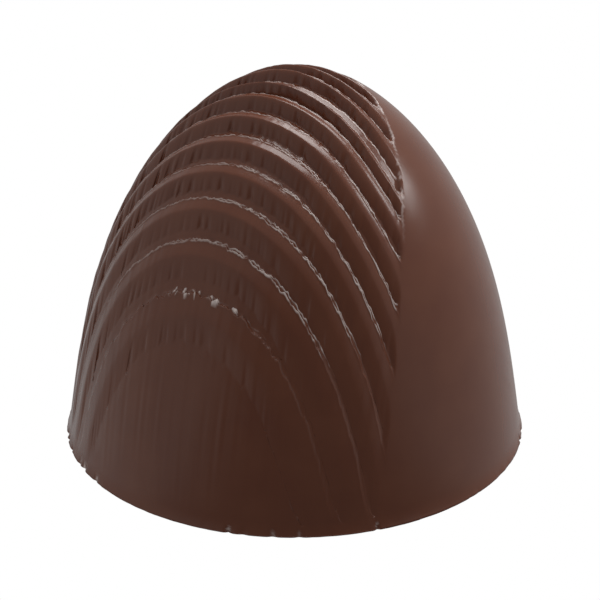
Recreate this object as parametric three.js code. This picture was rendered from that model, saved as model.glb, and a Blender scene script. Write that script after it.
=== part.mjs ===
// A moulded chocolate praline: one solid piece of chocolate, a tall round dome on a flat base.
//
// The smooth dome is a body of revolution. A field of ripples is sunk into its front, its left side and
// its crown: straight ridges side by side, all parallel to X. Seen from above, each ridge starts at a
// sloping floor, climbs a steep face towards the back, rounds over into a broad crest that slopes down
// again, and ends on a small drop to the next floor. The ridges bend forward a little at the right. The
// field ends on a curved edge, and the rest of the dome is left smooth.
//
// Millimetres, +Z up, origin at the middle of the base. The front is -Y.

import * as THREE from "three";

// ---- the smooth dome ------------------------------------------------------------------------------
const BASE_DIAMETER = 28;
const HEIGHT = 22.89;
const WALL_RADIUS = 13.88; // of the wall carried down to the table, inside the foot
const WALL_DRAFT = 0.144; // how far the wall leans in for each millimetre of height
const SHOULDER_POWER = 3.1; // a higher power keeps the wall straight for longer
const CROWN_POWER = 1.806; // 2 gives a round crown, a lower power a more pointed one
const FOOT_HEIGHT = 0.9; // a small flare at the rim, where the piece left its mould

// ---- the rippled field ----------------------------------------------------------------------------
const RIDGE_PITCH = 1.382;
const RIDGE_COUNT = 13;
const FIRST_VALLEY_Y = -11.93; // the valley nearest the front
const CREST_DEPTH = 0.4; // how far a crest slopes down below the dome by its back end
const DROP_DEPTH = 0.12; // of the small drop that ends it
const VALLEY_DEPTH = 0.66; // of the floor, at the foot of the next face
const FACE_FOOT_SHARE = 0.22; // shares of the pitch: the steep face starts here,
const FACE_TOP_SHARE = 0.32; //   starts to round over here,
const SHOULDER_SHARE = 0.48; //   and meets the crest here, at the height of the smooth dome
const DROP_SHARE = 0.125; // of the pitch, at a ridge's back end
const SHORT_RIDGE = 7; // this ridge, counted from the front, stops early,
const SHORT_RIDGE_END = 0.65; //   at this share of its pitch, and leaves a wide floor behind it
const FRONT_FADE = 1.4; // the first valley runs out into the front wall over this length
const EDGE_CENTRE_X = -5.22; // the field's edge is an arc, seen from above
const EDGE_CENTRE_Y = -10.82;
const EDGE_RADIUS = 16.09;
const EDGE_WIDTH = 0.4; // of the rounded step up to the smooth dome
const LOW_FADE = 3; // the relief fades out over this height above the table

// ---- how the ripples change from the middle to the right ------------------------------------------
const SIDE_SHARE = 0.75; // of their depth that is left at the right,
const SIDE_START = 2; //   falling from here
const SIDE_END = 8; //   to here
const BEND = 0.24; // a ridge runs this far forward of straight at the right,
const BEND_RATE = 0.065; //   more for each millimetre that it lies behind
const BEND_REFERENCE_Y = -5.2; //   this one,
const BEND_LIMIT = 0.5; //   up to this much
const BEND_START = 3.5; // the bend grows from here
const BEND_END = 8; //   to here
const BEND_FADE = 2; // and dies out over this length outside the field
const FLOOR_NARROWING = 0.2; // how much narrower a floor is at the right,
const NARROW_START = 2; //   from here
const NARROW_END = 6; //   to here
const FACE_SLACK = 0.03; // share of the pitch below the shoulder that the narrowing leaves alone

// ---- how fine the facets are ----------------------------------------------------------------------
const FACET = 1.0; // along a line
const LINE_GAP = 1.05; // between the lines where the dome is smooth
const LEAST_GAP = 0.04; // between two points of one line
const TABLE_STEPS = 360; // for measuring the length of a line
const BEND_ROUNDS = 4; // for finding where a bent line crosses the field's edge

const BASE_RADIUS = BASE_DIAMETER / 2;
const BEHIND_CREST_DEPTH = CREST_DEPTH + DROP_DEPTH;
const FOOT_FLARE = BASE_RADIUS - WALL_RADIUS;
const FIELD_BACK_Y = EDGE_CENTRE_Y + EDGE_RADIUS;

const { sin, sqrt, hypot, PI } = Math;
const clamp = THREE.MathUtils.clamp;
const smoothstep = THREE.MathUtils.smoothstep;
const lerp = THREE.MathUtils.lerp;

/** Radius of the smooth dome at a height. */
function domeRadius(z) {
  const wall = WALL_RADIUS - WALL_DRAFT * z;
  const crown = (1 - (z / HEIGHT) ** SHOULDER_POWER) ** (1 / CROWN_POWER);
  const foot = FOOT_FLARE * (1 - Math.min(z / FOOT_HEIGHT, 1)) ** 2;
  return wall * crown + foot;
}

/** Height of the smooth dome at a radius: the radius shrinks steadily with height, so halving finds it. */
function domeHeight(radius) {
  let low = 0;
  let high = HEIGHT;
  for (let step = 0; step < 40; step += 1) {
    const middle = (low + high) / 2;
    if (domeRadius(middle) > radius) low = middle;
    else high = middle;
  }
  return low;
}

/** Shares of a ridge's pitch at its face's foot, its face's top, its shoulder and its back end. */
function ridgeShares(ridge) {
  const end = ridge === SHORT_RIDGE ? SHORT_RIDGE_END : 1;
  return [FACE_FOOT_SHARE * end, FACE_TOP_SHARE * end, SHOULDER_SHARE * end, end];
}

/** The ridge that a distance from the front falls on, and its share of that ridge's pitch. */
function ridgePlace(y) {
  const along = (y - FIRST_VALLEY_Y) / RIDGE_PITCH;
  return [Math.floor(along), along - Math.floor(along)];
}

/** Depth of the ripples at a distance from the front, before the field's edge is counted in. */
function rippleDepth(y) {
  if (y < FIRST_VALLEY_Y) {
    return BEHIND_CREST_DEPTH * smoothstep(y, FIRST_VALLEY_Y - FRONT_FADE, FIRST_VALLEY_Y);
  }
  const [ridge, share] = ridgePlace(y);
  const [foot, top, shoulder, end] = ridgeShares(ridge);
  const topDepth = VALLEY_DEPTH / (1 + (2 * (top - foot)) / (shoulder - top));
  if (share < foot) return lerp(BEHIND_CREST_DEPTH, VALLEY_DEPTH, share / foot);
  if (share < top) return lerp(VALLEY_DEPTH, topDepth, (share - foot) / (top - foot));
  if (share < shoulder) return topDepth * ((shoulder - share) / (shoulder - top)) ** 2;
  const crest = CREST_DEPTH * Math.min((share - shoulder) / (end - shoulder), 1);
  return crest + DROP_DEPTH * smoothstep(share, end - DROP_SHARE, end);
}

/** Distance from the field's curved edge, more than 0 inside the field. */
function insideEdge(x, y) {
  return EDGE_RADIUS - hypot(x - EDGE_CENTRE_X, y - EDGE_CENTRE_Y);
}

/** The relief's share of its full strength at a place, which fades out towards the table. */
function liftShare(x, y) {
  return smoothstep(domeHeight(hypot(x, y)), 0, LOW_FADE);
}

/** How far a ripple line runs forward of straight. */
function bend(x, y) {
  const size = clamp(BEND + BEND_RATE * (y - BEND_REFERENCE_Y), 0, BEND_LIMIT) * liftShare(x, y);
  return size * smoothstep(x, BEND_START, BEND_END) * smoothstep(insideEdge(x, y), -BEND_FADE, 0);
}

/** How far the foot of a face comes forward at the right, which narrows the floor in front of it. */
function narrowing(x, y) {
  const [ridge, share] = ridgePlace(y);
  const [foot, , shoulder] = ridgeShares(ridge);
  const nearFoot = smoothstep(share, 0, foot) * (1 - smoothstep(share, foot, shoulder - FACE_SLACK));
  return y < FIRST_VALLEY_Y ? 0 : FLOOR_NARROWING * nearFoot * smoothstep(x, NARROW_START, NARROW_END);
}

/** The point of the piece's surface that belongs to a place in the field's straight plan. */
function surfacePoint(x, y) {
  const bent = y - bend(x, y);
  const inField = smoothstep(insideEdge(x, bent), 0, EDGE_WIDTH);
  const inRelief = inField * liftShare(x, y);
  const moved = bent - inRelief * narrowing(x, y);
  const dome = domeHeight(hypot(x, moved));
  const side = lerp(1, SIDE_SHARE, smoothstep(x, SIDE_START, SIDE_END));
  return new THREE.Vector3(x, moved, dome - rippleDepth(y) * inRelief * side);
}

/** Where a line of constant y crosses a circle, from left to right. */
function crossings(y, centreX, centreY, radius) {
  const square = radius ** 2 - (y - centreY) ** 2;
  return square > 0 ? [centreX - sqrt(square), centreX + sqrt(square)] : [];
}

/** Where a line that bends with the ripples crosses the field's edge, or an arc inside the edge. */
function edgeCrossings(y, inset) {
  return crossings(y, EDGE_CENTRE_X, EDGE_CENTRE_Y, EDGE_RADIUS - inset).map((start, side) => {
    let x = start;
    for (let round = 0; round < BEND_ROUNDS; round += 1) {
      x = crossings(y - bend(x, y), EDGE_CENTRE_X, EDGE_CENTRE_Y, EDGE_RADIUS - inset)[side] ?? x;
    }
    return x;
  });
}

/** The length of the dome's section along a line, as a table of [length, place]. */
function measure(sectionHeight, from, to) {
  const table = [[0, from]];
  let length = 0;
  for (let step = 1; step <= TABLE_STEPS; step += 1) {
    const swing = sin(PI * (step / TABLE_STEPS - 0.5)); // finer towards both ends, where it is steep
    const place = lerp(from, to, (swing + 1) / 2);
    const last = table[table.length - 1][1];
    length += hypot(place - last, sectionHeight(place) - sectionHeight(last));
    table.push([length, place]);
  }
  return table;
}

/** Reads a table of measure() one way or the other. */
function readTable(table, value, given, wanted) {
  let index = 1;
  while (index < table.length - 1 && table[index][given] < value) index += 1;
  const [before, after] = [table[index - 1], table[index]];
  const span = after[given] - before[given];
  const share = span > 0 ? clamp((value - before[given]) / span, 0, 1) : 0;
  return lerp(before[wanted], after[wanted], share);
}

/** Places spaced evenly over the surface between each two stops, with the stops among them. */
function spacedPlaces(table, stops, gap) {
  const places = [stops[0]];
  for (let index = 1; index < stops.length; index += 1) {
    const start = readTable(table, stops[index - 1], 1, 0);
    const end = readTable(table, stops[index], 1, 0);
    const count = Math.max(1, Math.round((end - start) / gap));
    for (let step = 1; step < count; step += 1) {
      places.push(readTable(table, lerp(start, end, step / count), 0, 1));
    }
    places.push(stops[index]);
  }
  return places;
}

/** Sorted stops, without any that lies too close to the one before it or to the last. */
function tidyStops(stops) {
  const sorted = [...stops].sort((a, b) => a - b);
  const last = sorted[sorted.length - 1];
  const kept = [sorted[0]];
  for (const stop of sorted.slice(1, -1)) {
    if (stop - kept[kept.length - 1] > LEAST_GAP && last - stop > LEAST_GAP) kept.push(stop);
  }
  return [...kept, last];
}

/** The distances from the front at which a line of points runs across the dome. */
function lineDistances() {
  const table = measure((y) => domeHeight(Math.abs(y)), -BASE_RADIUS, BASE_RADIUS);
  const footY = domeRadius(FOOT_HEIGHT);
  const front = spacedPlaces(table, [-BASE_RADIUS, -footY, FIRST_VALLEY_Y], LINE_GAP);
  const ridges = [];
  for (let ridge = 0; ridge < RIDGE_COUNT; ridge += 1) {
    const [foot, top, shoulder, end] = ridgeShares(ridge);
    const rounding = (top + shoulder) / 2;
    const shares = [foot, top, rounding, shoulder, end - DROP_SHARE, end - DROP_SHARE / 2, end];
    for (const share of shares) ridges.push(FIRST_VALLEY_Y + (ridge + share) * RIDGE_PITCH);
    if (ridge === SHORT_RIDGE) ridges.push(FIRST_VALLEY_Y + (ridge + 1) * RIDGE_PITCH);
  }
  const inField = ridges.filter((y) => y < FIELD_BACK_Y - LEAST_GAP);
  const back = spacedPlaces(table, [FIELD_BACK_Y, footY, BASE_RADIUS], LINE_GAP);
  return [...front, ...inField, ...back];
}

/** The points of one line across the dome, from the left of its rim to the right. */
function linePoints(y) {
  const end = sqrt(Math.max(BASE_RADIUS ** 2 - y ** 2, 0));
  if (end < LEAST_GAP) return [new THREE.Vector3(0, y, 0)];
  const inside = [
    ...crossings(y, 0, 0, domeRadius(FOOT_HEIGHT)),
    ...edgeCrossings(y, 0),
    ...edgeCrossings(y, EDGE_WIDTH / 2),
    ...edgeCrossings(y, EDGE_WIDTH),
  ].filter((x) => Math.abs(x) < end - LEAST_GAP);
  const table = measure((x) => domeHeight(hypot(x, y)), -end, end);
  const places = spacedPlaces(table, tidyStops([-end, ...inside, end]), FACET);
  return places.map((x) => (Math.abs(x) === end ? new THREE.Vector3(x, y, 0) : surfacePoint(x, y)));
}

/** The praline's surface: lines of points stitched to each other, and a flat base. */
function pralineGeometry() {
  const points = [];
  const faces = [];
  const addLine = (y) => linePoints(y).map((point) => points.push(point) - 1);
  const apart = (a, b) => points[a].distanceTo(points[b]);
  const lines = lineDistances().map(addLine);

  for (let index = 1; index < lines.length; index += 1) {
    const [near, far] = [lines[index - 1], lines[index]];
    let n = 0;
    let f = 0;
    while (n < near.length - 1 || f < far.length - 1) {
      const nearStep = n < near.length - 1 ? apart(near[n + 1], far[f]) : Infinity;
      const farStep = f < far.length - 1 ? apart(near[n], far[f + 1]) : Infinity;
      if (nearStep < farStep) {
        faces.push(near[n], near[n + 1], far[f]);
        n += 1;
      } else {
        faces.push(near[n], far[f + 1], far[f]);
        f += 1;
      }
    }
  }

  const right = lines.map((line) => line[line.length - 1]);
  const left = lines.slice(1, -1).map((line) => line[0]).reverse();
  const rim = [...right, ...left];
  const middle = points.push(new THREE.Vector3(0, 0, 0)) - 1;
  rim.forEach((corner, index) => faces.push(middle, rim[(index + 1) % rim.length], corner));

  const geometry = new THREE.BufferGeometry().setFromPoints(points);
  geometry.setIndex(faces);
  geometry.computeVertexNormals();
  return geometry;
}

const chocolate = new THREE.MeshStandardMaterial({ color: 0x673620, roughness: 0.25, metalness: 0 });
const praline = new THREE.Mesh(pralineGeometry(), chocolate);
praline.name = "praline";

const model = new THREE.Group();
model.add(praline);

export default model;
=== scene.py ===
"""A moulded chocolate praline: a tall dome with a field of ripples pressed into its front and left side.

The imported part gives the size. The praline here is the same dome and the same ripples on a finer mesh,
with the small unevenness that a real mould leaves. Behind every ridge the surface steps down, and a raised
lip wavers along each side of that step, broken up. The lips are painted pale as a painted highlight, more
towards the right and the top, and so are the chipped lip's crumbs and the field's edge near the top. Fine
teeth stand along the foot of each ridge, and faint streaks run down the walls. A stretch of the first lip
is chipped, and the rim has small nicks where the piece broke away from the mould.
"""

import math

import bpy
import numpy as np
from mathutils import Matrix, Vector


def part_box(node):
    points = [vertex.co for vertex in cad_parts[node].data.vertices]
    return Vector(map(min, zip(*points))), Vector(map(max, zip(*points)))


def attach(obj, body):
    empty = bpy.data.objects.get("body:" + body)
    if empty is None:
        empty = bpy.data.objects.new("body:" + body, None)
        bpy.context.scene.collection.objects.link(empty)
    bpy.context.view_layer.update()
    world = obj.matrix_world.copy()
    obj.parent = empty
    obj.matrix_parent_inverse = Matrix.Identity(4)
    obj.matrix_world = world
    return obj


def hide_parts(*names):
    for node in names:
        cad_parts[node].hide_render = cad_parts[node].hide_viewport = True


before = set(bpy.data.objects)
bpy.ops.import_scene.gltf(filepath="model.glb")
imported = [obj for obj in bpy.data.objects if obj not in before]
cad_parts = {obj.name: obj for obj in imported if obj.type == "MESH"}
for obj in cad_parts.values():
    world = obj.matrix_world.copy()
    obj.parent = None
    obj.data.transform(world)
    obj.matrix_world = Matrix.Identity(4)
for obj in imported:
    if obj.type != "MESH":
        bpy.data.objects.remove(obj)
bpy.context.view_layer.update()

MM = 0.001

# ---- the smooth dome, as in the part's own source -------------------------------------------------
low_corner, high_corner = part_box("praline")
BASE_RADIUS = (high_corner.y - low_corner.y) / 2
HEIGHT = 22.89 * MM
WALL_RADIUS = BASE_RADIUS - 0.12 * MM
WALL_DRAFT = 0.144
SHOULDER_POWER = 3.1
CROWN_POWER = 1.806
FOOT_HEIGHT = 0.9 * MM
FOOT_FLARE = BASE_RADIUS - WALL_RADIUS

# ---- the rippled field ----------------------------------------------------------------------------
# names that end in SHARE count along a ridge, as shares of the pitch
RIDGE_PITCH = 1.382 * MM
RIDGE_COUNT = 13
FIRST_VALLEY_Y = -11.93 * MM
CREST_DEPTH = 0.4 * MM
DROP_DEPTH = 0.12 * MM
VALLEY_DEPTH = 0.66 * MM
FACE_FOOT_SHARE = 0.22
FACE_TOP_SHARE = 0.32
SHOULDER_SHARE = 0.48
DROP_SHARE = 0.15
TRENCH_DEPTH = 0.14 * MM
TRENCH_SLOPES = (0.8, 1.8)
SIDE_SHARE_OF_DEPTH = 0.75
SIDE_ROUNDING = 0.8
SIDE_FADE = (2 * MM, 8 * MM)
SHORT_RIDGE = 7
SHORT_RIDGE_END_SHARE = 0.65
FRONT_FADE = 1.4 * MM
START_FADE = RIDGE_PITCH / 4
LOW_FADE = 3 * MM
EDGE_CENTRE = (-5.22 * MM, -10.82 * MM)
EDGE_RADIUS = 16.09 * MM
EDGE_WIDTH = 0.4 * MM
BEND_START = 3.5 * MM
BEND_END = 8 * MM
BEND_REFERENCE_Y = -5.2 * MM
BEND = 0.24 * MM
BEND_RATE = 0.065
BEND_LIMIT = 0.5 * MM
BEND_FADE = 2 * MM
FLOOR_NARROWING = 0.2 * MM
NARROW_FADE = (2 * MM, 6 * MM)
NARROW_SLACK_SHARE = 0.03

# ---- the teeth along the foot of each ridge -------------------------------------------------------
TOOTH_DEPTH = 0.085 * MM
TOOTH_SIZE = 0.5 * MM
TOOTH_WIDTH = TOOTH_SIZE / 2
FINE_TOOTH_WIDTH = TOOTH_SIZE / 3
TOOTH_LIMITS = (-0.3, 1.5)
TOOTH_REACH_SHARE = 0.16
FINE_TEETH = 0.6
TOOTH_LEAN = 1.2
LEFT_TEETH = 0.4
LEFT_FADE = (0, -6 * MM)

# ---- the lips on both sides of the step down behind each ridge ------------------------------------
LIP_WAVER = 0.07 * MM
LIP_WAVE = 0.3 * MM
FINE_LIP_WAVE = LIP_WAVE / 2.6
COARSE_WAVER = 0.6
FINE_WAVER = 0.5
WAVER_REACH_SHARE = 0.1
WAVER_SHARE_OF_FLOOR = 0.6
LIP_HEIGHT = 0.04 * MM
LIP_HALF_SHARE = 0.032
LOW_LIP = 0.2
LIP_GROW = (9 * MM, 13 * MM)
BREAK_SIZE = 0.15 * MM
LONG_BREAK_SIZE = 2 * BREAK_SIZE
LIP_LEVEL = 0.75
COARSE_BREAKS = 0.3
FINE_BREAKS = 0.35
# the pale colour along the lips is a painted highlight, weaker on the left and full towards the right
LIP_HIGHLIGHT_PALENESS = (0.2, 0.8)
LEFT_LIP_HIGHLIGHT = 0.35
LIP_HIGHLIGHT_GROW = (-3 * MM, 5 * MM)

# ---- the chipped stretch of the first lip ---------------------------------------------------------
CHIPPED_LIP = 1
WORN_LIP = 0.4
CHIP_LEFT = -1.7 * MM
CHIP_RIGHT = 2.5 * MM
CHIP_FADE = 0.4 * MM
CHIP_WIDTH = 0.42 * MM
CHIP_IN_FRONT = CHIP_WIDTH / 4
CRUMB_SIZE = 0.2 * MM
FINE_CRUMB_SIZE = CRUMB_SIZE / 2
CRUMB_HEIGHT = 0.1 * MM
FINE_CRUMBS = 0.5
# the crumbs' pale colour is a painted highlight
CRUMB_HIGHLIGHT_PALENESS = (0.25, 0.5)

# ---- the field's curved edge, painted pale near the top as a painted highlight --------------------
EDGE_WAVER = 0.06 * MM
EDGE_WAVE = 0.3 * MM
EDGE_LIP = 0.07 * MM
EDGE_GROW = (15 * MM, 18 * MM)
EDGE_HIGHLIGHT_PALENESS = 0.8
EDGE_LEVEL = 0.5
EDGE_SPECKS = 0.8
EDGE_SPECK_SIZE = EDGE_LIP * 3

# ---- swells and streaks ---------------------------------------------------------------------------
SWELL_DEPTH = 0.012 * MM
SWELL_SIZE = 3.2 * MM
STREAK_DEPTH = 0.012 * MM
STREAK_WIDTH = 0.25 * MM
STREAK_LENGTH = 6 * MM
STREAK_START = (0.6 * MM, 1.2 * MM)
# lips and streaks stand straight up, so they are made taller where the wall is steeper, up to this slope
STEEPEST_WALL = 5

# ---- the rim --------------------------------------------------------------------------------------
RIM_ROUND = 0.05 * MM
RIM_WAVER = 0.025 * MM
RIM_WAVE = 0.35 * MM
RIM_REACH = 0.6 * MM
NICK_REACH = 1 * MM
NICK_WIDTHS = (0.25 * MM, 0.45 * MM)
NICK_DEPTHS = (0.06 * MM, 0.16 * MM)
NICK_PALENESS = (0.05 * MM, 0.12 * MM)
NICK_GRAIN = 0.2 * MM
NICK_SPECKS = (0, 0.6)
# where in its own part of a worn stretch a nick may lie
NICK_PLACES = (0.1, 0.9)
# the stretches of the rim that are nicked: first degree from +X, last degree and how many nicks
LEFT_WORN = (214, 244, 6)
FRONT_WORN = (281, 302, 4)
FRONT_RIGHT_WORN = (317, 321, 1)
RIGHT_WORN = (17, 25, 2)

# ---- a seed for each random pattern, so that no two run together ----------------------------------
NICK_SEED = 5
SWELL_SEED = 7
TOOTH_SEED = 8
FINE_TOOTH_SEED = 9
CREST_LIP_SEED = 10
FLOOR_LIP_SEED = 12
EDGE_SEED = 21
STREAK_SEED = 31
RIM_SEED = 41
NICK_SCUFF_SEED = 42
FINE_WAVER_SEED_STEP = 50
BREAK_SEED = 61
FINE_BREAK_SEED = 62
CRUMB_SEED = 71
FINE_CRUMB_SEED = 72
EDGE_HIGHLIGHT_SEED = 81
NOISE_CELLS = 256
# neighbouring steps read a pattern this many of its sizes apart, so that they do not look alike
ROW_STEP = 11

# ---- the mesh -------------------------------------------------------------------------------------
FINE_STEP = 0.075 * MM
SMOOTH_STEP = 0.3 * MM
FINE_FADE = (-0.6 * MM, 0.1 * MM)
LINE_STEP_FRONT = 0.25 * MM
LINE_STEP_BACK = 0.36 * MM
RIM_STEP = FOOT_HEIGHT / 6
RIM_BAND = FOOT_HEIGHT * 1.5
# lines of points over each part of a ridge: its lip's back, floor, face, shoulder, crest, step with lips
RIDGE_LINES = (3, 4, 5, 5, 5, 13)
SHORT_RIDGE_FLOOR_LINES = 6
COUNT_STEP = 24
CLOSE_LINES = 0.06 * MM
SHORTEST_LINE = 1 * MM
END_SLACK = 0.0001 * MM
FACING = 0.003
SLOPE_STEP = 0.02 * MM
BASE_INSETS = (RIM_ROUND, 1 * MM, 4 * MM, 8 * MM)
PROFILE_STEPS = 6000
ARC_STEPS = 4000
TABLE_POINTS = 900


def smoothstep(low, high, value):
    share = np.clip((value - low) / (high - low), 0, 1)
    return share * share * (3 - 2 * share)


def hump(start, rise, fall, end, value):
    """1 between rise and fall, and 0 before the start and after the end."""
    return smoothstep(start, rise, value) * (1 - smoothstep(fall, end, value))


def grow(least, low, high, value):
    """Grows from the least share to 1."""
    return least + (1 - least) * smoothstep(low, high, value)


def noise(x, y, size, seed):
    """Smooth random bumps about `size` across, from -1 to 1."""
    lattice = np.random.default_rng(seed).uniform(-1, 1, (NOISE_CELLS, NOISE_CELLS))
    x, y = np.broadcast_arrays(np.asarray(x) / size, np.asarray(y) / size)
    column, row = np.floor(x).astype(int), np.floor(y).astype(int)
    right, up = x - column, y - row
    right, up = right * right * (3 - 2 * right), up * up * (3 - 2 * up)
    here, beside = column % NOISE_CELLS, (column + 1) % NOISE_CELLS
    low, high = row % NOISE_CELLS, (row + 1) % NOISE_CELLS
    bottom = lattice[low, here] * (1 - right) + lattice[low, beside] * right
    top = lattice[high, here] * (1 - right) + lattice[high, beside] * right
    return bottom * (1 - up) + top * up


# ---- the dome's profile, as a table from the rim up to the crown ----------------------------------
profile_share = np.linspace(0, 1, PROFILE_STEPS + 1)
profile_height = HEIGHT * (1 - (1 - profile_share) ** 2)
profile_wall = WALL_RADIUS - WALL_DRAFT * profile_height
profile_crown = (1 - (profile_height / HEIGHT) ** SHOULDER_POWER).clip(0) ** (1 / CROWN_POWER)
profile_foot = FOOT_FLARE * (1 - np.minimum(profile_height / FOOT_HEIGHT, 1)) ** 2
profile_radius = profile_wall * profile_crown + profile_foot


def dome_height(radius):
    return np.interp(radius, profile_radius[::-1], profile_height[::-1])


def ridge_and_share(y):
    """Which ridge a distance from the front falls on, and its share of that ridge's pitch."""
    along = (y - FIRST_VALLEY_Y) / RIDGE_PITCH
    ridge = np.floor(along)
    return ridge, along - ridge


def ridge_shares(ridge):
    """Shares of a ridge's pitch at its face's foot, its face's top, its shoulder and its back end."""
    end = np.where(ridge == SHORT_RIDGE, SHORT_RIDGE_END_SHARE, 1)
    return FACE_FOOT_SHARE * end, FACE_TOP_SHARE * end, SHOULDER_SHARE * end, end


def ripple_depth(x, y):
    """How deep the ripples lie over points of the base: floor, face, round shoulder, crest and drop."""
    ridge, share = ridge_and_share(y)
    foot, top, shoulder, end = ridge_shares(ridge)
    behind_crest = CREST_DEPTH + DROP_DEPTH
    top_depth = VALLEY_DEPTH / (1 + 2 * (top - foot) / (shoulder - top))
    floor = behind_crest + (VALLEY_DEPTH - behind_crest) * share / foot
    face = VALLEY_DEPTH + (top_depth - VALLEY_DEPTH) * (share - foot) / (top - foot)
    round_part = top_depth * ((shoulder - share) / (shoulder - top)) ** 2
    back_share = ((share - shoulder) / (end - shoulder)).clip(0, 1)
    crest = CREST_DEPTH * back_share ** (1 + SIDE_ROUNDING * smoothstep(*SIDE_FADE, x))
    crest = crest + DROP_DEPTH * smoothstep(end - DROP_SHARE, end, share)
    depth = np.select([share < foot, share < top, share < shoulder], [floor, face, round_part], crest)
    front = behind_crest * smoothstep(FIRST_VALLEY_Y - FRONT_FADE, FIRST_VALLEY_Y, y)
    return np.where(y < FIRST_VALLEY_Y, front, depth)


def inside_edge(x, y):
    """Distance from the field's curved edge, more than 0 inside the field."""
    across, along = x - EDGE_CENTRE[0], y - EDGE_CENTRE[1]
    turn = np.arctan2(along, across) * EDGE_RADIUS
    waver = EDGE_WAVER * noise(turn, 0 * turn, EDGE_WAVE, EDGE_SEED)
    return EDGE_RADIUS - np.hypot(across, along) + waver


def ridge_lines(ridge):
    """The distances from the front of the lines of points that run along a ridge."""
    foot, top, shoulder, end = (float(share) for share in ridge_shares(ridge))
    stops = [0, LIP_HALF_SHARE, foot, top, shoulder, end - DROP_SHARE - LIP_HALF_SHARE, end]
    counts = list(RIDGE_LINES)
    if ridge == SHORT_RIDGE:
        stops.append(1)
        counts.append(SHORT_RIDGE_FLOOR_LINES)
    parts = zip(stops[:-1], stops[1:], counts)
    shares = np.concatenate([np.linspace(start, stop, count + 1)[1:] for start, stop, count in parts])
    return FIRST_VALLEY_Y + (ridge + shares) * RIDGE_PITCH


def line_distances():
    """The distances from the front at which a line of points crosses the dome."""
    y = BASE_RADIUS * np.sin(np.linspace(-math.pi / 2, math.pi / 2, ARC_STEPS + 1))
    length = np.r_[0, np.cumsum(np.hypot(np.diff(y), np.diff(dome_height(abs(y)))))]

    def spaced(start, end, step):
        a, b = np.interp([start, end], y, length)
        count = max(2, round((b - a) / step))
        return np.interp(np.linspace(a, b, count + 1), length, y)

    field_back = EDGE_CENTRE[1] + EDGE_RADIUS + 2 * EDGE_WAVER
    foot_y = profile_radius[np.searchsorted(profile_height, FOOT_HEIGHT)]
    front_rim = spaced(-BASE_RADIUS, -foot_y, RIM_STEP)
    front_wall = spaced(-foot_y, FIRST_VALLEY_Y, LINE_STEP_FRONT)[1:]
    field = np.concatenate([front_rim, front_wall] + [ridge_lines(ridge) for ridge in range(RIDGE_COUNT)])
    field = field[field < field_back - CLOSE_LINES]
    back_wall = spaced(field_back, foot_y, LINE_STEP_BACK)
    back_rim = spaced(foot_y, BASE_RADIUS, RIM_STEP)[1:]
    return np.r_[field, back_wall, back_rim]


def line_places(y):
    """Places along a line of constant y: close together in the ripples, wide apart where it is smooth."""
    end = math.sqrt(max(BASE_RADIUS**2 - y**2, 0))
    x = end * np.sin(np.linspace(-math.pi / 2, math.pi / 2, TABLE_POINTS))
    height = dome_height(np.hypot(x, y))
    step = np.hypot(np.diff(x), np.diff(height))
    middle_x, middle_z = (x[1:] + x[:-1]) / 2, (height[1:] + height[:-1]) / 2
    in_field = smoothstep(*FINE_FADE, inside_edge(middle_x, y))
    spacing = SMOOTH_STEP + (FINE_STEP - SMOOTH_STEP) * in_field
    spacing = np.where(middle_z < RIM_BAND, np.minimum(spacing, RIM_STEP), spacing)
    steps = np.r_[0, np.cumsum(step / spacing)]
    count = max(COUNT_STEP, round(steps[-1] / COUNT_STEP) * COUNT_STEP)
    places = np.interp(np.linspace(0, steps[-1], count + 1), steps, x)
    places[0], places[-1] = -end, end
    return places


def lift_share(x, y):
    """The relief's share of its full strength, which fades out towards the table."""
    return smoothstep(0, LOW_FADE, dome_height(np.hypot(x, y)))


def bend(x, y):
    """How far a ripple line runs forward of straight: more to the right, and more at the back."""
    size = np.clip(BEND + BEND_RATE * (y - BEND_REFERENCE_Y), 0, BEND_LIMIT) * lift_share(x, y)
    return size * smoothstep(BEND_START, BEND_END, x) * smoothstep(-BEND_FADE, 0, inside_edge(x, y))


def over_step(ridge, share, start, end, reach):
    """Grows to 1 up to a ridge's back end and fades over the next floor; the first floor has none."""
    return smoothstep(start, end, share) + (ridge > 0) * (1 - smoothstep(0, reach, share))


def teeth(x, share, foot, row):
    """How deep the teeth along a ridge's foot are cut, in tooth depths; on the left they lean."""
    left = smoothstep(*LEFT_FADE, x)
    across = x - TOOTH_LEAN * left * (share - foot) * RIDGE_PITCH
    cut = noise(across, row * TOOTH_SIZE, TOOTH_WIDTH, TOOTH_SEED)
    cut = cut + FINE_TEETH * noise(across, row * TOOTH_SIZE, FINE_TOOTH_WIDTH, FINE_TOOTH_SEED)
    return (cut * (1 + LEFT_TEETH * left)).clip(*TOOTH_LIMITS)


def ragged(x, row, seed):
    """How a lip wanders to and fro along a ridge, from about -1 to 1."""
    coarse = noise(x, row * LIP_WAVE, LIP_WAVE, seed)
    fine = noise(x, row * LIP_WAVE, FINE_LIP_WAVE, seed + FINE_WAVER_SEED_STEP)
    return COARSE_WAVER * coarse + FINE_WAVER * fine


def bead(share, middle):
    """A small rounded rise along a ridge, from 0 to 1."""
    return (1 - ((share - middle) / LIP_HALF_SHARE) ** 2).clip(0)


def unbroken(x, row):
    """What is left of a lip where it is broken up, 0 in its gaps and about 1 where it is whole."""
    coarse = noise(x, row * BREAK_SIZE, LONG_BREAK_SIZE, BREAK_SEED)
    fine = noise(x, row * BREAK_SIZE, BREAK_SIZE, FINE_BREAK_SEED)
    return (LIP_LEVEL + COARSE_BREAKS * coarse + FINE_BREAKS * fine).clip(0)


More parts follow.
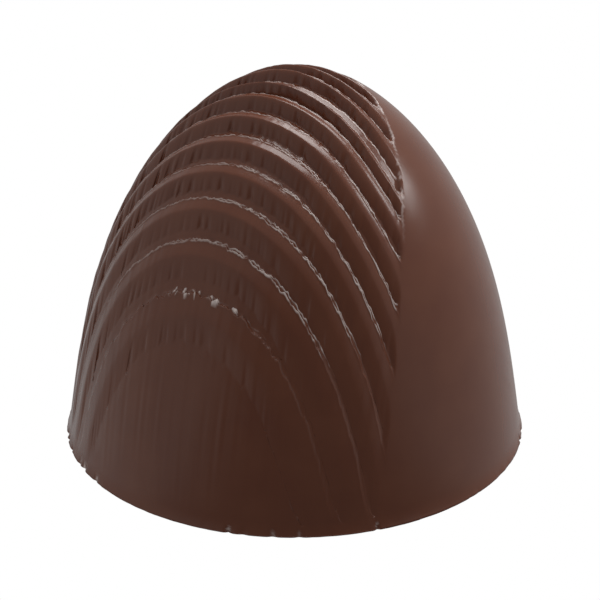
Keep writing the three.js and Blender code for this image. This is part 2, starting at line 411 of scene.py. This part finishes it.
def chip_crumbs(x, y):
    """The crumbs along the chipped stretch of a lip, 0 where there are none."""
    from_lip = y - FIRST_VALLEY_Y - CHIPPED_LIP * RIDGE_PITCH
    chipped = hump(CHIP_LEFT - CHIP_FADE, CHIP_LEFT, CHIP_RIGHT, CHIP_RIGHT + CHIP_FADE, x)
    chipped = chipped * (1 - (2 * (from_lip + CHIP_IN_FRONT) / CHIP_WIDTH) ** 2).clip(0)
    fine = noise(x, y, FINE_CRUMB_SIZE, FINE_CRUMB_SEED)
    return (noise(x, y, CRUMB_SIZE, CRUMB_SEED) + FINE_CRUMBS * fine).clip(0) * chipped


def edge_painted_highlight(x, y, from_edge, wall):
    """How pale the field's edge is painted, as a painted highlight: in specks, near the top and right of the
    middle.
    """
    on_lip = (1 - ((from_edge - EDGE_LIP) / EDGE_LIP) ** 2).clip(0)
    specks = (EDGE_LEVEL + EDGE_SPECKS * noise(x, y, EDGE_SPECK_SIZE, EDGE_HIGHLIGHT_SEED)).clip(0)
    return EDGE_HIGHLIGHT_PALENESS * on_lip * specks * smoothstep(*EDGE_GROW, wall) * smoothstep(0, BEND_START, x)


def surface(x, y):
    """The finished surface over points of the base: three coordinates, and how pale each point is painted, a
    painted highlight on the lips, crumbs and edge.
    """
    ridge, share = ridge_and_share(y)
    foot, top, shoulder, end = ridge_shares(ridge)
    drop_start, drop_middle = end - DROP_SHARE, end - DROP_SHARE / 2
    nearest_step = np.where(share > 0.5, ridge + 1, ridge)
    row = nearest_step * ROW_STEP
    bent = y - bend(x, y)
    from_edge = inside_edge(x, bent)
    wall = dome_height(np.hypot(x, bent))
    in_field = smoothstep(0, EDGE_WIDTH, from_edge)
    in_relief = in_field * lift_share(x, y)
    started = smoothstep(0, START_FADE, y - FIRST_VALLEY_Y)

    toothed = hump(0, foot, foot, top + TOOTH_REACH_SHARE, share)
    near_foot = hump(0, foot, foot, shoulder - NARROW_SLACK_SHARE, share)
    narrowing = FLOOR_NARROWING * smoothstep(*NARROW_FADE, x)
    shift = TOOTH_DEPTH * teeth(x, share, foot, row) * toothed - narrowing * near_foot
    crest_lip = hump(drop_start - WAVER_REACH_SHARE, drop_start, drop_middle, end, share)
    floor_lip = over_step(ridge, share, drop_middle, end, foot * WAVER_SHARE_OF_FLOOR)
    waver = ragged(x, ridge * ROW_STEP, CREST_LIP_SEED) * crest_lip
    waver = waver + ragged(x, row, FLOOR_LIP_SEED) * floor_lip
    moved = bent + in_relief * started * (shift + LIP_WAVER * waver)

    radius = np.hypot(x, moved)
    slope = (dome_height(radius - SLOPE_STEP) - dome_height(radius + SLOPE_STEP)) / (2 * SLOPE_STEP)
    trench = TRENCH_DEPTH * smoothstep(*TRENCH_SLOPES, slope)
    trench = trench * over_step(ridge, share, drop_start, end, foot) * started
    side = 1 - (1 - SIDE_SHARE_OF_DEPTH) * smoothstep(*SIDE_FADE, x)
    depth = (ripple_depth(x, y) * side + trench) * in_relief

    has_floor_lip = (share < end) * ((ridge > 0) | (share > foot))
    lips = bead(share, drop_start) + (bead(share, end) + bead(share, 0)) * has_floor_lip
    lips = lips * unbroken(x, row) * in_relief * started * grow(LOW_LIP, *LIP_GROW, wall)
    lips = lips * np.where(nearest_step == CHIPPED_LIP, WORN_LIP, 1)
    crumbs = chip_crumbs(x, y)
    raised = LIP_HEIGHT * lips + CRUMB_HEIGHT * crumbs

    # painted highlight: the lips are painted pale, more towards the right, in place of the light they catch
    pale_highlight_and_scuff = smoothstep(*LIP_HIGHLIGHT_PALENESS, lips) * grow(LEFT_LIP_HIGHLIGHT, *LIP_HIGHLIGHT_GROW, x)
    # painted highlight: the chipped lip's crumbs are painted pale
    pale_highlight_and_scuff = np.maximum(pale_highlight_and_scuff, smoothstep(*CRUMB_HIGHLIGHT_PALENESS, crumbs))
    pale_highlight_and_scuff = np.maximum(pale_highlight_and_scuff, edge_painted_highlight(x, y, from_edge, wall)).clip(0, 1)

    swell = SWELL_DEPTH * noise(x, y, SWELL_SIZE, SWELL_SEED)
    streaks = noise(x, wall * STREAK_WIDTH / STREAK_LENGTH, STREAK_WIDTH, STREAK_SEED)
    streaks = STREAK_DEPTH * streaks * in_field * smoothstep(*STREAK_START, wall)
    steep = slope.clip(1, STEEPEST_WALL)
    z = dome_height(radius) - depth + (swell + streaks * steep) * in_relief + raised * steep
    return np.stack([x, moved, np.maximum(z, RIM_ROUND), pale_highlight_and_scuff], -1)


def rim_nicks():
    """Each nick's place round the rim in radians, width and depth, spread unevenly along each stretch."""
    draw = np.random.default_rng(NICK_SEED)
    for first, last, count in (LEFT_WORN, FRONT_WORN, FRONT_RIGHT_WORN, RIGHT_WORN):
        for number in range(count):
            degrees = first + (last - first) * (number + draw.uniform(*NICK_PLACES)) / count
            yield math.radians(degrees), draw.uniform(*NICK_WIDTHS), draw.uniform(*NICK_DEPTHS)


def nick_rim(coordinates):
    """Presses small nicks and a ragged line into the rim, where the piece broke away from the mould."""
    x, y, z, pale_highlight_and_scuff = coordinates.T
    radius = np.hypot(x, y)
    turn = np.arctan2(y, x)
    inner_radius = BASE_RADIUS - NICK_REACH
    low = (1 - smoothstep(RIM_ROUND, RIM_REACH, z)) * (radius > inner_radius)
    inward = RIM_WAVER * noise(turn * BASE_RADIUS, 0 * turn, RIM_WAVE, RIM_SEED).clip(0, 1)
    for angle, width, depth in rim_nicks():
        away = (turn - angle + math.pi) % (2 * math.pi) - math.pi
        inward = inward + depth * np.exp(-((away * BASE_RADIUS / (width / 2)) ** 2))
    keep = 1 - inward * low / np.maximum(radius, inner_radius)
    specks = smoothstep(*NICK_SPECKS, noise(turn * BASE_RADIUS, z, NICK_GRAIN, NICK_SCUFF_SEED))
    pale_highlight_and_scuff = np.maximum(pale_highlight_and_scuff, smoothstep(*NICK_PALENESS, inward) * low * specks)
    return np.stack([x * keep, y * keep, z, pale_highlight_and_scuff], -1)


def line_points(y):
    """One line of points over the dome, both ends on the rim, or one point at the very front or back."""
    x = np.zeros(1) if abs(y) > BASE_RADIUS - END_SLACK else line_places(y)
    points = surface(x, np.full_like(x, y))
    points[[0, -1], 1] = y
    points[[0, -1], 2] = RIM_ROUND
    return points


def strip(near, far, near_places, far_places):
    """Faces between two neighbouring lines: quads where the points face each other, else triangles."""
    if len(near) == len(far) and abs(near_places - far_places).max() < FACING:
        return [], np.stack([near[:-1], near[1:], far[1:], far[:-1]], -1)
    steps_near, steps_far = len(near) - 1, len(far) - 1
    at = np.r_[near_places[1:] + near_places[:-1], far_places[1:] + far_places[:-1]]
    on_near = np.r_[np.ones(steps_near, bool), np.zeros(steps_far, bool)]
    order = np.argsort(at, kind="stable")
    on_near = on_near[order]
    n = np.cumsum(on_near) - on_near
    f = np.cumsum(~on_near) - ~on_near
    third = np.where(on_near, near[np.minimum(n + 1, steps_near)], far[np.minimum(f + 1, steps_far)])
    return np.stack([near[n], third, far[f]], -1), []


def praline_mesh():
    """Lines of points stitched together over the dome, and rings of faces under it."""
    rows = [line_points(y) for y in line_distances()]
    starts = np.cumsum([0] + [len(row) for row in rows])
    lines = [np.arange(start, stop) for start, stop in zip(starts, starts[1:])]
    places = [row[:, 0] / max(row[-1, 0], SHORTEST_LINE) for row in rows]
    triangles, quads = [], []
    for near, far, near_places, far_places in zip(lines, lines[1:], places, places[1:]):
        some_triangles, some_quads = strip(near, far, near_places, far_places)
        triangles.extend(some_triangles)
        quads.extend(some_quads)

    coordinates = np.concatenate(rows)
    ring = np.array([line[-1] for line in lines] + [line[0] for line in lines[-2:0:-1]])
    outline = coordinates[ring]
    for inset in BASE_INSETS:
        scale = 1 - inset / BASE_RADIUS
        inner_ring = len(coordinates) + np.arange(len(ring))
        coordinates = np.concatenate([coordinates, outline * (scale, scale, 0, 0)])
        quads.extend(np.stack([np.roll(ring, -1), ring, inner_ring, np.roll(inner_ring, -1)], -1))
        ring = inner_ring
    triangles.extend(np.stack([np.roll(ring, -1), ring, np.full_like(ring, len(coordinates))], -1))
    coordinates = nick_rim(np.concatenate([coordinates, [[0, 0, 0, 0]]]))

    mesh = bpy.data.meshes.new("praline_moulded")
    faces = [tuple(map(int, face)) for face in triangles + quads]
    mesh.from_pydata(coordinates[:, :3].tolist(), [], faces)
    mesh.update()
    # where the pale colour goes: painted highlight on the lips, crumbs and edge, and scuffs on the rim's
    # nicks
    mesh.attributes.new("pale_highlight_and_scuff", "FLOAT", "POINT").data.foreach_set("value", coordinates[:, 3])
    mesh.polygons.foreach_set("use_smooth", np.ones(len(mesh.polygons), bool))
    return mesh


praline = bpy.data.objects.new("praline_moulded", praline_mesh())
bpy.context.scene.collection.objects.link(praline)


def linear(colour):
    """A colour given in sRGB hex, as linear light."""
    parts = (int(colour[i : i + 2], 16) / 255 for i in (1, 3, 5))
    return [p / 12.92 if p <= 0.04045 else ((p + 0.055) / 1.055) ** 2.4 for p in parts] + [1]


def add(nodes, kind, settings=None, inputs=None):
    """One node, with its settings, its constants and what is linked into its sockets."""
    node = nodes.new(kind)
    for name, value in (settings or {}).items():
        setattr(node, name, value)
    for socket, value in (inputs or {}).items():
        if isinstance(value, bpy.types.NodeSocket):
            nodes.id_data.links.new(value, node.inputs[socket])
        else:
            node.inputs[socket].default_value = value
    return node


# Tempered dark milk chocolate: cocoa, sugar and milk set in fine even crystals of cocoa butter. It
# shrinks a little as it sets and lets go of a polished mould, so it takes the mould's gloss: the highlights
# are soft but clear. The colour drifts a little where cocoa butter has gathered, the gloss is duller in
# faint streaks where the piece slid out of the mould, and a very fine grain breaks up the reflections. The
# real grain is finer than 0.12 mm and is drawn that coarse so that it shows. Along the raised lips, the
# chip's crumbs and the field's edge near the top, a pale colour is a painted highlight, standing in for the
# light those edges catch. Where the rim has rubbed against something, the crystals are broken and scatter
# the light, so those scuffs are pale too. All these pale marks are dull against the brown.
COCOA_BROWN = "#673620"
BUTTERY_BROWN = "#6A3923"
DEEP_BROWN = "#64331E"
# pale colour for the painted highlight on the lips, crumbs and edge, and for the scuffed nicks of the rim
HIGHLIGHT_AND_SCUFF_PALE = "#D6C6C0"
PALE_MARK_ROUGHNESS = 0.4
CHOCOLATE_IOR = 1.5
GLOSS = 0.25
GLOSS_DRIFT = 0.02
CLOUD_SIZE = 2.5 * MM
CLOUD_DETAIL = 3.0
CLOUD_ROUGHNESS = 0.5
GRAIN_SIZE = 0.12 * MM
GRAIN_HEIGHT = 0.0012 * MM
FINE_DETAIL = 2.0
STREAK_SHRINK = (1, 0.15, 0.15)
# a noise pattern stays mostly between these two values
PATTERN_LOW = 0.3
PATTERN_MIDDLE = 0.5
PATTERN_HIGH = 0.7

chocolate = bpy.data.materials.new("tempered_chocolate")
chocolate.use_nodes = True
nodes = chocolate.node_tree.nodes
shader = nodes["Principled BSDF"]
place = add(nodes, "ShaderNodeNewGeometry").outputs["Position"]
cloud_settings = {0: place, "Scale": 1 / CLOUD_SIZE, "Detail": CLOUD_DETAIL, "Roughness": CLOUD_ROUGHNESS}
clouds = add(nodes, "ShaderNodeTexNoise", None, cloud_settings).outputs[0]
browns = add(nodes, "ShaderNodeValToRGB", None, {0: clouds})
browns.color_ramp.elements[0].position = PATTERN_LOW
browns.color_ramp.elements[0].color = linear(DEEP_BROWN)
browns.color_ramp.elements[1].position = PATTERN_HIGH
browns.color_ramp.elements[1].color = linear(BUTTERY_BROWN)
browns.color_ramp.elements.new(PATTERN_MIDDLE).color = linear(COCOA_BROWN)
stretched = add(nodes, "ShaderNodeMapping", None, {0: place, "Scale": STREAK_SHRINK}).outputs[0]
streak_settings = {0: stretched, "Scale": 1 / STREAK_WIDTH, "Detail": FINE_DETAIL}
streaks = add(nodes, "ShaderNodeTexNoise", None, streak_settings).outputs[0]
gloss_ends = {1: PATTERN_LOW, 2: PATTERN_HIGH, 3: GLOSS - GLOSS_DRIFT, 4: GLOSS + GLOSS_DRIFT}
gloss = add(nodes, "ShaderNodeMapRange", None, {0: streaks, **gloss_ends}).outputs[0]
grain_settings = {0: place, "Scale": 1 / GRAIN_SIZE, "Detail": FINE_DETAIL}
grain = add(nodes, "ShaderNodeTexNoise", None, grain_settings).outputs[0]
bump_settings = {"Height": grain, "Distance": GRAIN_HEIGHT, "Strength": 1.0}
uneven = add(nodes, "ShaderNodeBump", None, bump_settings).outputs[0]
# painted highlight on the lips, crumbs and edge, and scuffs on the rim's nicks, read from the mesh
pale_highlight_and_scuff = add(nodes, "ShaderNodeAttribute", {"attribute_name": "pale_highlight_and_scuff"}).outputs["Fac"]
highlight_and_scuff_colours = {0: pale_highlight_and_scuff, 6: browns.outputs[0], 7: linear(HIGHLIGHT_AND_SCUFF_PALE)}
colour = add(nodes, "ShaderNodeMix", {"data_type": "RGBA"}, highlight_and_scuff_colours).outputs[2]
dulled = add(nodes, "ShaderNodeMix", None, {0: pale_highlight_and_scuff, 2: gloss, 3: PALE_MARK_ROUGHNESS}).outputs[0]
for socket, value in (("Base Color", colour), ("Roughness", dulled), ("Normal", uneven)):
    chocolate.node_tree.links.new(value, shader.inputs[socket])
shader.inputs["IOR"].default_value = CHOCOLATE_IOR
praline.data.materials.append(chocolate)
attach(praline, "root")
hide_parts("praline")

# ---- floor, light and camera ----------------------------------------------------------------------
VIEW_AZIMUTH = math.radians(30)
LIGHT_DISTANCE = 0.5
WHITE = (1, 1, 1, 1)
ROOM_BRIGHTNESS = 0.485
FRONT_BRIGHTNESS = 0.2
FRONT_AZIMUTH = VIEW_AZIMUTH + math.radians(5)
FRONT_NARROW = math.cos(math.radians(15))
FRONT_WIDE = math.cos(math.radians(58))
FLOOR_HALF_SIDE = 2
FLOOR_GAP = 0.01 * MM


def soft_box(name, azimuth, elevation, width, height, brightness):
    """A rectangular soft box that faces the praline; its directions are counted from the camera's."""
    lamp = bpy.data.lights.new(name, "AREA")
    lamp.shape = "RECTANGLE"
    lamp.size = width
    lamp.size_y = height
    lamp.energy = brightness * math.pi * width * height
    light = bpy.data.objects.new(name, lamp)
    turn, rise = VIEW_AZIMUTH + math.radians(azimuth), math.radians(elevation)
    towards = Vector((math.sin(turn) * math.cos(rise), -math.cos(turn) * math.cos(rise), math.sin(rise)))
    light.location = towards * LIGHT_DISTANCE + Vector((0, 0, HEIGHT / 2))
    light.rotation_euler = towards.to_track_quat("Z", "Y").to_euler()
    bpy.context.scene.collection.objects.link(light)


def room_brightness(nodes, direction):
    """An evenly lit pale room that is dark in front, behind the camera."""
    front = (math.sin(FRONT_AZIMUTH), -math.cos(FRONT_AZIMUTH), 0)
    along = add(nodes, "ShaderNodeVectorMath", {"operation": "NORMALIZE"}, {0: direction}).outputs[0]
    facing = add(nodes, "ShaderNodeVectorMath", {"operation": "DOT_PRODUCT"}, {0: along, 1: front})
    ends = {1: FRONT_WIDE, 2: FRONT_NARROW, 3: ROOM_BRIGHTNESS, 4: FRONT_BRIGHTNESS}
    from_facing = {0: facing.outputs["Value"], **ends}
    return add(nodes, "ShaderNodeMapRange", {"interpolation_type": "SMOOTHSTEP"}, from_facing).outputs[0]


def seen_and_lit(nodes, output, seen, lit):
    """White where the camera looks straight at it, and the room's own brightness for everything else."""
    ray = add(nodes, "ShaderNodeLightPath").outputs["Is Camera Ray"]
    mixed = add(nodes, "ShaderNodeMixShader", None, {0: ray, 1: lit, 2: seen})
    add(nodes, output, None, {"Surface": mixed.outputs[0]})


soft_box("key", azimuth=148, elevation=56, width=0.32, height=0.38, brightness=5.0)
soft_box("low", azimuth=104, elevation=30, width=0.11, height=0.13, brightness=7.0)

world = bpy.data.worlds.new("studio")
bpy.context.scene.world = world
world.use_nodes = True
sky = world.node_tree.nodes
sky.clear()
direction = add(sky, "ShaderNodeTexCoord").outputs["Generated"]
backdrop = add(sky, "ShaderNodeBackground", None, {"Color": WHITE, "Strength": 1.0}).outputs[0]
room_light = {"Color": WHITE, "Strength": room_brightness(sky, direction)}
room = add(sky, "ShaderNodeBackground", None, room_light).outputs[0]
seen_and_lit(sky, "ShaderNodeOutputWorld", backdrop, room)

floor_mesh = bpy.data.meshes.new("floor")
corners = [(x * FLOOR_HALF_SIDE, y * FLOOR_HALF_SIDE, 0) for x, y in ((-1, -1), (1, -1), (1, 1), (-1, 1))]
floor_mesh.from_pydata(corners, [], [(0, 1, 2, 3)])
floor = bpy.data.objects.new("floor", floor_mesh)
floor.location.z = -FLOOR_GAP
paint = bpy.data.materials.new("floor")
paint.use_nodes = True
table = paint.node_tree.nodes
table.clear()
place = add(table, "ShaderNodeNewGeometry").outputs["Position"]
white = add(table, "ShaderNodeEmission", None, {"Color": WHITE, "Strength": 1.0}).outputs[0]
glow = add(table, "ShaderNodeEmission", None, {"Strength": room_brightness(table, place)}).outputs[0]
seen_and_lit(table, "ShaderNodeOutputMaterial", white, glow)
floor_mesh.materials.append(paint)
bpy.context.scene.collection.objects.link(floor)

# the frame is 600 pixels square, and the praline's axis stands a little left of its middle
FRAME_PIXELS = 600
AXIS_PIXEL = 293.9
FOCAL_PIXELS = 2261.7
SENSOR_WIDTH = 36
CAMERA_DISTANCE = 10 * BASE_RADIUS
CAMERA_RISE = math.radians(28.308)
CAMERA_PITCH = math.radians(25.267)
CLIP_START = 1 * MM

lens = bpy.data.cameras.new("camera")
lens.sensor_width = SENSOR_WIDTH
lens.lens = SENSOR_WIDTH * FOCAL_PIXELS / FRAME_PIXELS
lens.clip_start = CLIP_START
camera = bpy.data.objects.new("camera", lens)
camera.location = (
    CAMERA_DISTANCE * math.cos(CAMERA_RISE) * math.sin(VIEW_AZIMUTH),
    -CAMERA_DISTANCE * math.cos(CAMERA_RISE) * math.cos(VIEW_AZIMUTH),
    CAMERA_DISTANCE * math.sin(CAMERA_RISE),
)
yaw = math.atan((FRAME_PIXELS / 2 - AXIS_PIXEL) / FOCAL_PIXELS)
camera.rotation_euler = (math.pi / 2 - CAMERA_PITCH, 0, VIEW_AZIMUTH - yaw)
bpy.context.scene.collection.objects.link(camera)
bpy.context.scene.camera = camera
bpy.context.scene.view_settings.view_transform = "Standard"
